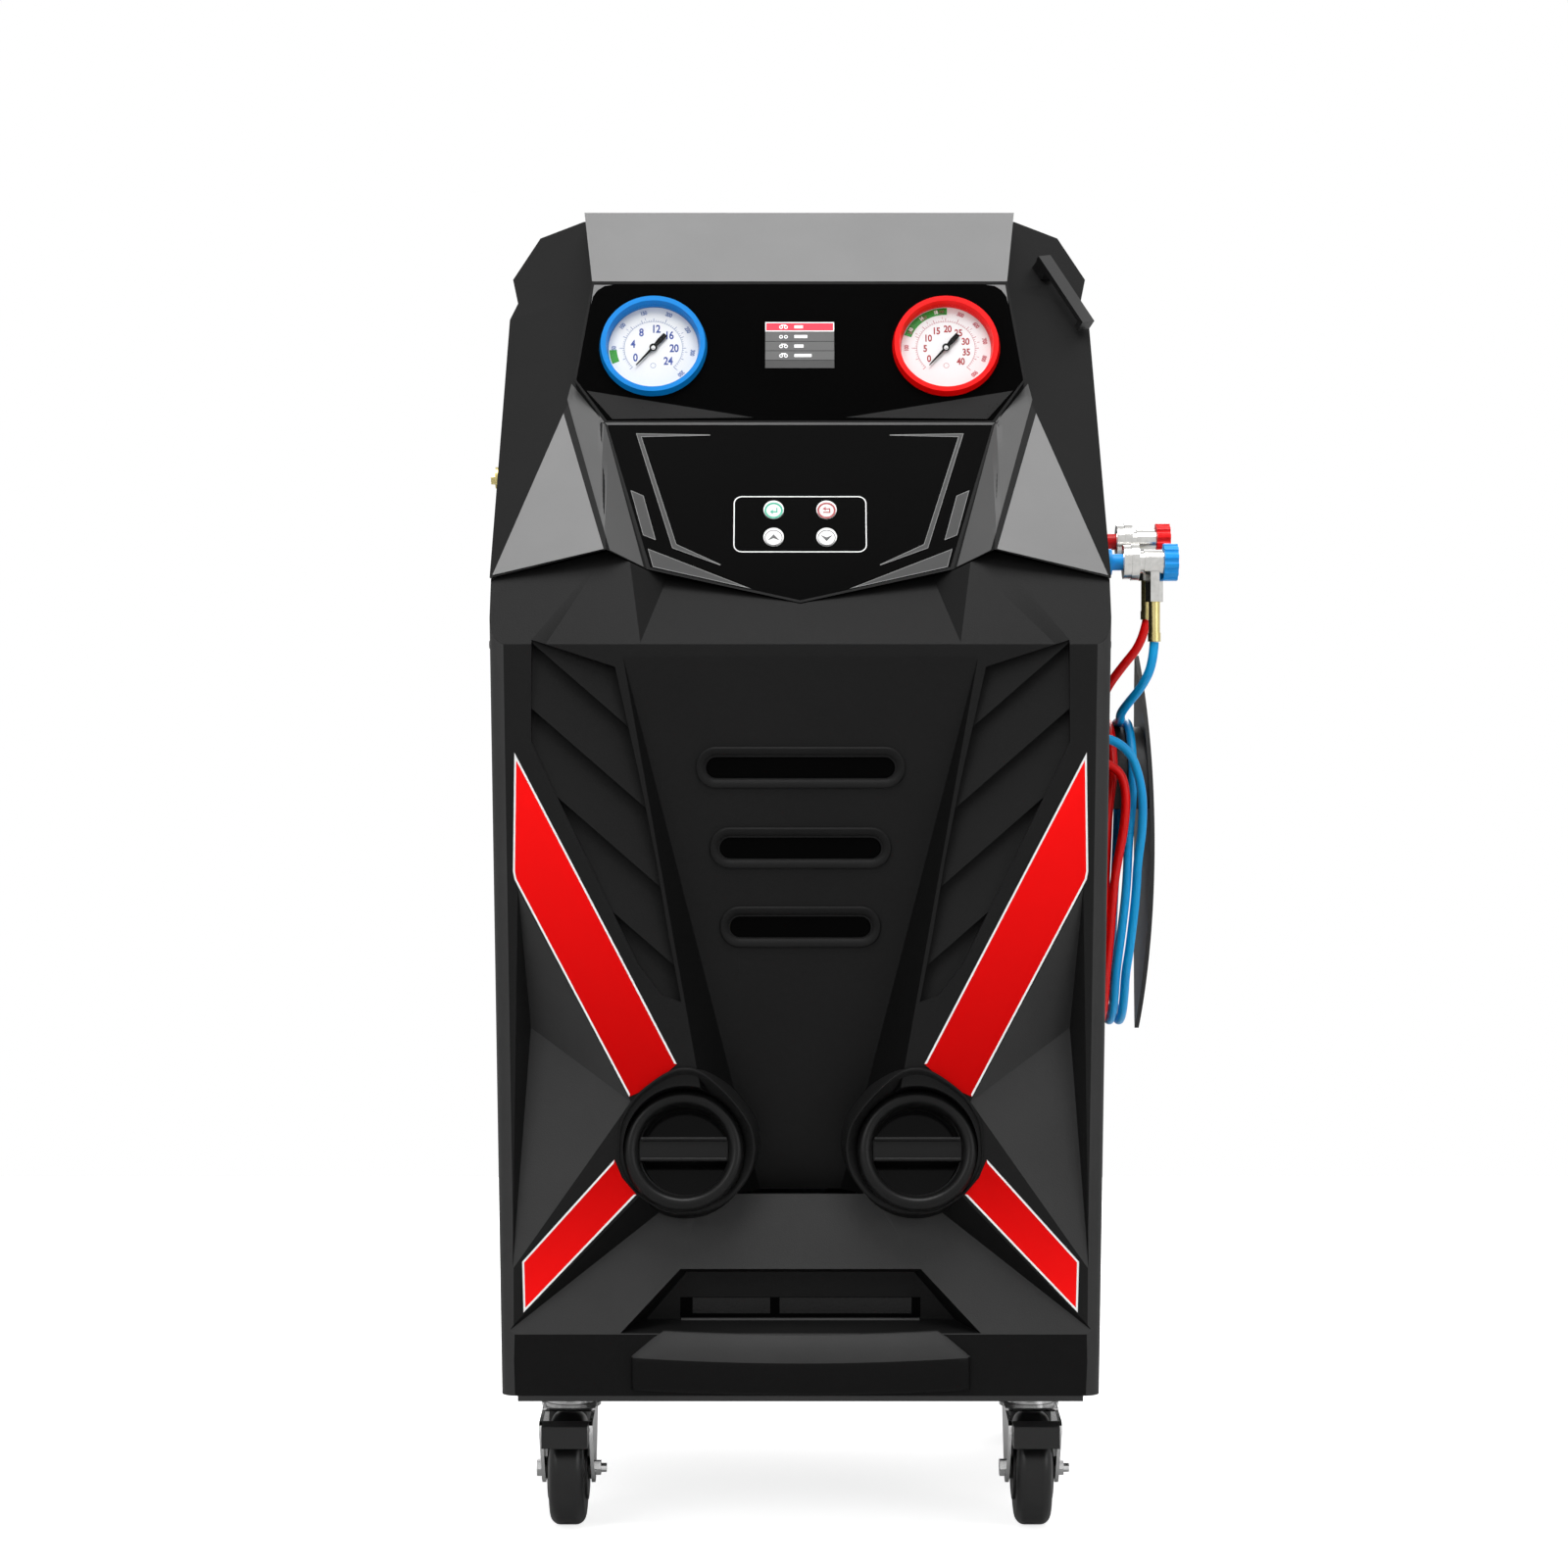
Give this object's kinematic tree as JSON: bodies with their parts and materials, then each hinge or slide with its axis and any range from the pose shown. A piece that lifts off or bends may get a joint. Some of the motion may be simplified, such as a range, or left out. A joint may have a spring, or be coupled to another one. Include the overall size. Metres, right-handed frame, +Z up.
{
  "type": "refrigerant recovery machine",
  "caption": "Wheeled vehicle air-conditioning service station with a sloped instrument hood, faceted front cover, sight windows and two parked service hoses.",
  "frame": {"origin": "on the floor, at the centre of the machine's bounding box seen from above, measured without the hoses and their couplers", "axes": "+Z up, -Y towards the operator who faces the gauges, +X to the side that carries the hose hanger"},
  "size_m": [0.6266, 0.57, 1.212],
  "materials": {
    "frame_paint": "satin powder coat",
    "shell_plastic": "textured, with grey painted wings and band",
    "panel_paint": "textured powder coat",
    "gloss_black": "polished",
    "red_ring": "satin",
    "blue_ring": "satin",
    "dial_white": "printed scale",
    "clear_glass": "clear",
    "smoked_lens": "smoked",
    "trim_black": "satin",
    "bright_steel": "bright",
    "chrome_plate": "plated",
    "caster_rubber": "matt",
    "wheel_rubber": "matt",
    "pedal_steel": "bright, with a black pad",
    "red_plastic": "satin",
    "blue_plastic": "satin",
    "brass_parts": "machined",
    "handle_paint": "satin",
    "pointer_black": "matt",
    "button_white": "white with a coloured ring",
    "board_green": "solder resist",
    "bottle_clear": "translucent",
    "tank_paint": "gloss",
    "scale_aluminium": "milled",
    "machine_paint": "gloss",
    "red_hose_rubber": "smooth",
    "blue_hose_rubber": "smooth"
  },
  "bodies": {
    "cabinet": {"base_frame": "frame_paint", "front_cover": "shell_plastic", "hood": "shell_plastic", "left_side_panel": "panel_paint", "right_side_panel": "panel_paint", "rear_panel": "panel_paint", "gauge_panel": "gloss_black", "keypad_panel": "gloss_black", "slot_inserts": "gloss_black", "intake_grille": "gloss_black", "display_screen": "gloss_black", "high_gauge_bezel": "red_ring", "low_gauge_bezel": "blue_ring", "gauge_dials": "dial_white", "gauge_lenses": "clear_glass", "window_lenses": "smoked_lens", "window_bezels": "trim_black", "power_inlet": "trim_black", "hose_hanger": "trim_black", "probe_hook": "trim_black", "fan_guard": "trim_black", "side_screws": "bright_steel", "parking_posts": "bright_steel", "rear_axle": "bright_steel", "caster_plates": "chrome_plate", "coupler_bodies": "chrome_plate", "service_fittings": "brass_parts", "valve_manifold": "brass_parts", "push_handle": "handle_paint", "control_board": "board_green", "oil_bottles": "bottle_clear", "storage_tank": "tank_paint", "tank_scale": "scale_aluminium", "condenser": "scale_aluminium", "compressor": "machine_paint", "vacuum_pump": "machine_paint", "red_hose": "red_hose_rubber", "red_hose_coil": "red_hose_rubber", "blue_hose": "blue_hose_rubber", "blue_hose_coil": "blue_hose_rubber"},
    "left_fork_body": {"left_caster_fork": "chrome_plate"},
    "left_caster_wheel_body": {"left_caster_wheel": "caster_rubber"},
    "left_pedal_body": {"left_brake_pedal": "pedal_steel"},
    "left_rear_wheel_body": {"left_rear_wheel": "wheel_rubber"},
    "right_fork_body": {"right_caster_fork": "chrome_plate"},
    "right_caster_wheel_body": {"right_caster_wheel": "caster_rubber"},
    "right_pedal_body": {"right_brake_pedal": "pedal_steel"},
    "right_rear_wheel_body": {"right_rear_wheel": "wheel_rubber"},
    "low_pointer_body": {"low_gauge_pointer": "pointer_black"},
    "high_pointer_body": {"high_gauge_pointer": "pointer_black"},
    "start_button_body": {"start_button": "button_white"},
    "back_button_body": {"back_button": "button_white"},
    "up_button_body": {"up_button": "button_white"},
    "down_button_body": {"down_button": "button_white"},
    "blue_knob_body": {"blue_coupler_knob": "blue_plastic"},
    "blue_sleeve_body": {"blue_coupler_sleeve": "chrome_plate"},
    "red_knob_body": {"red_coupler_knob": "red_plastic"},
    "red_sleeve_body": {"red_coupler_sleeve": "chrome_plate"},
    "switch_body": {"power_switch": "trim_black"},
    "rotor_body": {"fan_rotor": "trim_black"}
  },
  "joints": [
    {"name": "left_caster_swivel", "type": "hinge", "parent": "cabinet", "child": "left_fork_body", "pos_m": [-0.2286, -0.188, 0.103], "axis": [0, 0, 1], "continuous": true},
    {"name": "left_caster_roll", "type": "hinge", "parent": "left_fork_body", "child": "left_caster_wheel_body", "pos_m": [-0.2286, -0.218, 0.05], "axis": [1, 0, 0], "continuous": true},
    {"name": "left_brake_press", "type": "hinge", "parent": "left_fork_body", "child": "left_pedal_body", "pos_m": [-0.2286, -0.258, 0.093], "axis": [1, 0, 0], "range_deg": [0, 12]},
    {"name": "left_rear_wheel_roll", "type": "hinge", "parent": "cabinet", "child": "left_rear_wheel_body", "pos_m": [-0.252, 0.15, 0.1], "axis": [1, 0, 0], "continuous": true},
    {"name": "right_caster_swivel", "type": "hinge", "parent": "cabinet", "child": "right_fork_body", "pos_m": [0.1866, -0.188, 0.103], "axis": [0, 0, 1], "continuous": true},
    {"name": "right_caster_roll", "type": "hinge", "parent": "right_fork_body", "child": "right_caster_wheel_body", "pos_m": [0.1866, -0.218, 0.05], "axis": [1, 0, 0], "continuous": true},
    {"name": "right_brake_press", "type": "hinge", "parent": "right_fork_body", "child": "right_pedal_body", "pos_m": [0.1866, -0.258, 0.093], "axis": [1, 0, 0], "range_deg": [0, 12]},
    {"name": "right_rear_wheel_roll", "type": "hinge", "parent": "cabinet", "child": "right_rear_wheel_body", "pos_m": [0.21, 0.15, 0.1], "axis": [1, 0, 0], "continuous": true},
    {"name": "low_pointer_turn", "type": "hinge", "parent": "cabinet", "child": "low_pointer_body", "pos_m": [-0.157, -0.12193, 1.07], "axis": [0, 0.9541, -0.2996], "range_deg": [0, 270], "stiffness_Nm_per_rad": 0.002},
    {"name": "high_pointer_turn", "type": "hinge", "parent": "cabinet", "child": "high_pointer_body", "pos_m": [0.115, -0.12193, 1.07], "axis": [0, 0.9541, -0.2996], "range_deg": [0, 270], "stiffness_Nm_per_rad": 0.002},
    {"name": "start_button_press", "type": "slide", "parent": "cabinet", "child": "start_button_body", "axis": [0, 0.9055, -0.4244], "range_m": [0, 0.001], "stiffness_N_per_m": 300},
    {"name": "back_button_press", "type": "slide", "parent": "cabinet", "child": "back_button_body", "axis": [0, 0.9055, -0.4244], "range_m": [0, 0.001], "stiffness_N_per_m": 300},
    {"name": "up_button_press", "type": "slide", "parent": "cabinet", "child": "up_button_body", "axis": [0, 0.9055, -0.4244], "range_m": [0, 0.001], "stiffness_N_per_m": 300},
    {"name": "down_button_press", "type": "slide", "parent": "cabinet", "child": "down_button_body", "axis": [0, 0.9055, -0.4244], "range_m": [0, 0.001], "stiffness_N_per_m": 300},
    {"name": "blue_knob_turn", "type": "hinge", "parent": "cabinet", "child": "blue_knob_body", "pos_m": [0.308, -0.193, 0.865], "axis": [1, 0, 0], "range_deg": [0, 720]},
    {"name": "blue_sleeve_slide", "type": "slide", "parent": "cabinet", "child": "blue_sleeve_body", "axis": [1, 0, 0], "range_m": [0, 0.004], "stiffness_N_per_m": 400},
    {"name": "red_knob_turn", "type": "hinge", "parent": "cabinet", "child": "red_knob_body", "pos_m": [0.308, -0.133, 0.888], "axis": [1, 0, 0], "range_deg": [0, 720]},
    {"name": "red_sleeve_slide", "type": "slide", "parent": "cabinet", "child": "red_sleeve_body", "axis": [1, 0, 0], "range_m": [0, 0.004], "stiffness_N_per_m": 400},
    {"name": "power_switch_rock", "type": "hinge", "parent": "cabinet", "child": "switch_body", "pos_m": [-0.081, 0.2155, 0.3], "axis": [1, 0, 0], "range_deg": [-8, 8]},
    {"name": "fan_spin", "type": "hinge", "parent": "cabinet", "child": "rotor_body", "pos_m": [-0.021, 0.188, 0.64], "axis": [0, 1, 0], "continuous": true}
  ]
}
